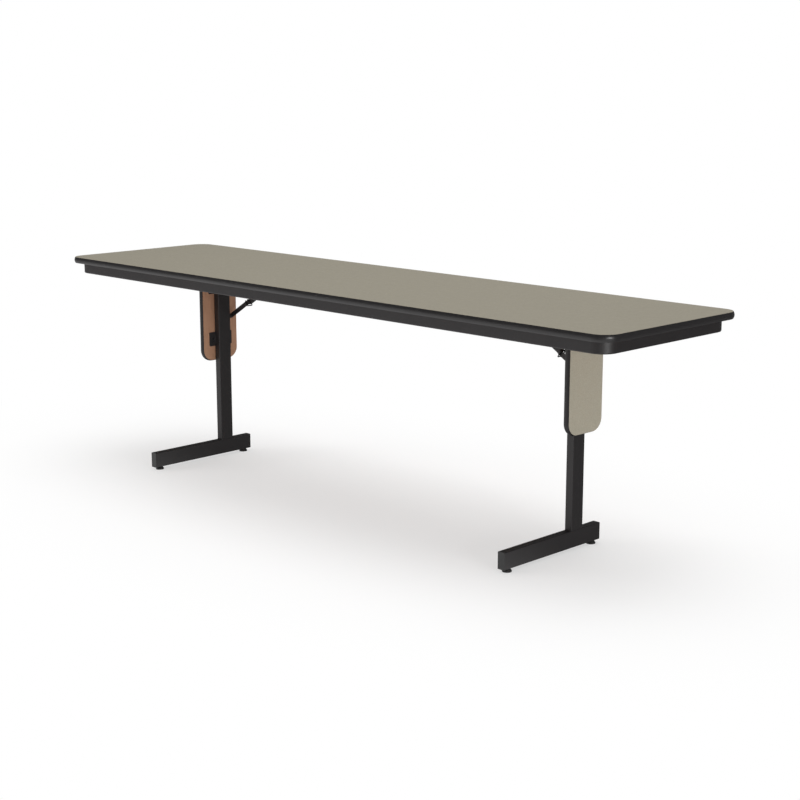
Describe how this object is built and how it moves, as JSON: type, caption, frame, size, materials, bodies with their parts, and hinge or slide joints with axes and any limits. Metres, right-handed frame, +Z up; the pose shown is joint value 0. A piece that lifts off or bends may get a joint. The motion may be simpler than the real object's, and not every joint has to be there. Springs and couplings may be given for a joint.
{
  "type": "training table",
  "caption": "Long folding training table: speckled laminate top with a dark edge over a steel apron, on set-back T legs with side panels, folding braces and levelling glides.",
  "frame": {"origin": "on the floor under the middle of the top", "axes": "+X along the table, +Y from the user's side towards the legs' side, +Z up"},
  "size_m": [2.4448, 0.616, 0.7366],
  "materials": {
    "top_laminate": "fine speckled decorative laminate, matt",
    "panel_laminate": "fine speckled decorative laminate, matt",
    "chipboard": "pressed wood particles",
    "backer_sheet": "brown resin-filled paper",
    "black_vinyl": "extruded, slight sheen",
    "black_enamel": "fine-textured powder coat",
    "black_plastic": "moulded, matt",
    "white_nylon": "moulded, slight sheen",
    "zinc_steel": "bright zinc plate",
    "black_oxide": "black oxide on drawn wire"
  },
  "bodies": {
    "top": {"top_laminate": "top_laminate", "top_core": "chipboard", "top_backer": "backer_sheet", "top_edge_moulding": "black_vinyl", "apron": "black_enamel", "left_front_hinge_bracket": "black_enamel", "left_rear_hinge_bracket": "black_enamel", "left_hinge_rod": "zinc_steel", "left_brace_bracket": "black_enamel", "left_brace_rivet": "zinc_steel", "right_front_hinge_bracket": "black_enamel", "right_rear_hinge_bracket": "black_enamel", "right_hinge_rod": "zinc_steel", "right_brace_bracket": "black_enamel", "right_brace_rivet": "zinc_steel"},
    "left_leg": {"left_post": "black_enamel", "left_pivot_tube": "black_enamel", "left_pivot_bushes": "white_nylon", "left_foot": "black_enamel", "left_front_foot_cap": "black_plastic", "left_rear_foot_cap": "black_plastic", "left_panel_core": "chipboard", "left_panel_backer": "backer_sheet", "left_panel_laminate": "panel_laminate", "left_panel_edge": "black_vinyl", "left_upper_panel_plate": "black_enamel", "left_lower_panel_plate": "black_enamel", "left_brace_stud": "black_enamel"},
    "left_brace_lower": {"left_lower_link": "black_enamel", "left_knee_rivet_front": "black_enamel"},
    "left_brace_upper": {"left_upper_link": "black_enamel", "left_knee_rivet_rear": "black_enamel"},
    "left_ring": {"left_lock_ring": "black_oxide"},
    "left_front_glide_body": {"left_front_glide": "black_plastic"},
    "left_rear_glide_body": {"left_rear_glide": "black_plastic"},
    "right_leg": {"right_post": "black_enamel", "right_pivot_tube": "black_enamel", "right_pivot_bushes": "white_nylon", "right_foot": "black_enamel", "right_front_foot_cap": "black_plastic", "right_rear_foot_cap": "black_plastic", "right_panel_core": "chipboard", "right_panel_backer": "backer_sheet", "right_panel_laminate": "panel_laminate", "right_panel_edge": "black_vinyl", "right_upper_panel_plate": "black_enamel", "right_lower_panel_plate": "black_enamel", "right_brace_stud": "black_enamel"},
    "right_brace_lower": {"right_lower_link": "black_enamel", "right_knee_rivet_front": "black_enamel"},
    "right_brace_upper": {"right_upper_link": "black_enamel", "right_knee_rivet_rear": "black_enamel"},
    "right_ring": {"right_lock_ring": "black_oxide"},
    "right_front_glide_body": {"right_front_glide": "black_plastic"},
    "right_rear_glide_body": {"right_rear_glide": "black_plastic"}
  },
  "joints": [
    {"name": "left_leg_fold", "type": "hinge", "parent": "top", "child": "left_leg", "pos_m": [-0.8235, 0.0762, 0.6987], "axis": [0, -1, 0], "range_deg": [0, 90]},
    {"name": "left_brace_lower_swing", "type": "hinge", "parent": "left_leg", "child": "left_brace_lower", "pos_m": [-0.8235, 0.117, 0.5167], "axis": [0, -1, 0], "range_deg": [0, 58.59]},
    {"name": "left_brace_upper_swing", "type": "hinge", "parent": "top", "child": "left_brace_upper", "pos_m": [-0.5255, 0.1212, 0.6987], "axis": [0, -1, 0], "range_deg": [-31.41, 0]},
    {"name": "left_ring_slide", "type": "slide", "parent": "left_brace_upper", "child": "left_ring", "axis": [-0.8534, 0, -0.5212], "range_m": [-0.15659, 0]},
    {"name": "left_front_glide_screw", "type": "slide", "parent": "left_leg", "child": "left_front_glide_body", "axis": [0, 0, -1], "range_m": [0, 0.012]},
    {"name": "left_rear_glide_screw", "type": "slide", "parent": "left_leg", "child": "left_rear_glide_body", "axis": [0, 0, -1], "range_m": [0, 0.012]},
    {"name": "right_leg_fold", "type": "hinge", "parent": "top", "child": "right_leg", "pos_m": [0.8235, 0.0762, 0.6987], "axis": [0, 1, 0], "range_deg": [0, 90]},
    {"name": "right_brace_lower_swing", "type": "hinge", "parent": "right_leg", "child": "right_brace_lower", "pos_m": [0.8235, 0.117, 0.5167], "axis": [0, 1, 0], "range_deg": [0, 58.59]},
    {"name": "right_brace_upper_swing", "type": "hinge", "parent": "top", "child": "right_brace_upper", "pos_m": [0.5255, 0.1212, 0.6987], "axis": [0, 1, 0], "range_deg": [-31.41, 0]},
    {"name": "right_ring_slide", "type": "slide", "parent": "right_brace_upper", "child": "right_ring", "axis": [0.8534, 0, -0.5212], "range_m": [-0.15659, 0]},
    {"name": "right_front_glide_screw", "type": "slide", "parent": "right_leg", "child": "right_front_glide_body", "axis": [0, 0, -1], "range_m": [0, 0.012]},
    {"name": "right_rear_glide_screw", "type": "slide", "parent": "right_leg", "child": "right_rear_glide_body", "axis": [0, 0, -1], "range_m": [0, 0.012]}
  ],
  "couplings": [
    {"joint": "left_brace_lower_swing", "follows": "left_leg_fold", "ratio": 0.65096},
    {"joint": "left_brace_upper_swing", "follows": "left_leg_fold", "ratio": -0.34904},
    {"joint": "left_ring_slide", "follows": "left_leg_fold", "m_per_rad": -0.099689},
    {"joint": "right_brace_lower_swing", "follows": "right_leg_fold", "ratio": 0.65096},
    {"joint": "right_brace_upper_swing", "follows": "right_leg_fold", "ratio": -0.34904},
    {"joint": "right_ring_slide", "follows": "right_leg_fold", "m_per_rad": -0.099689}
  ]
}
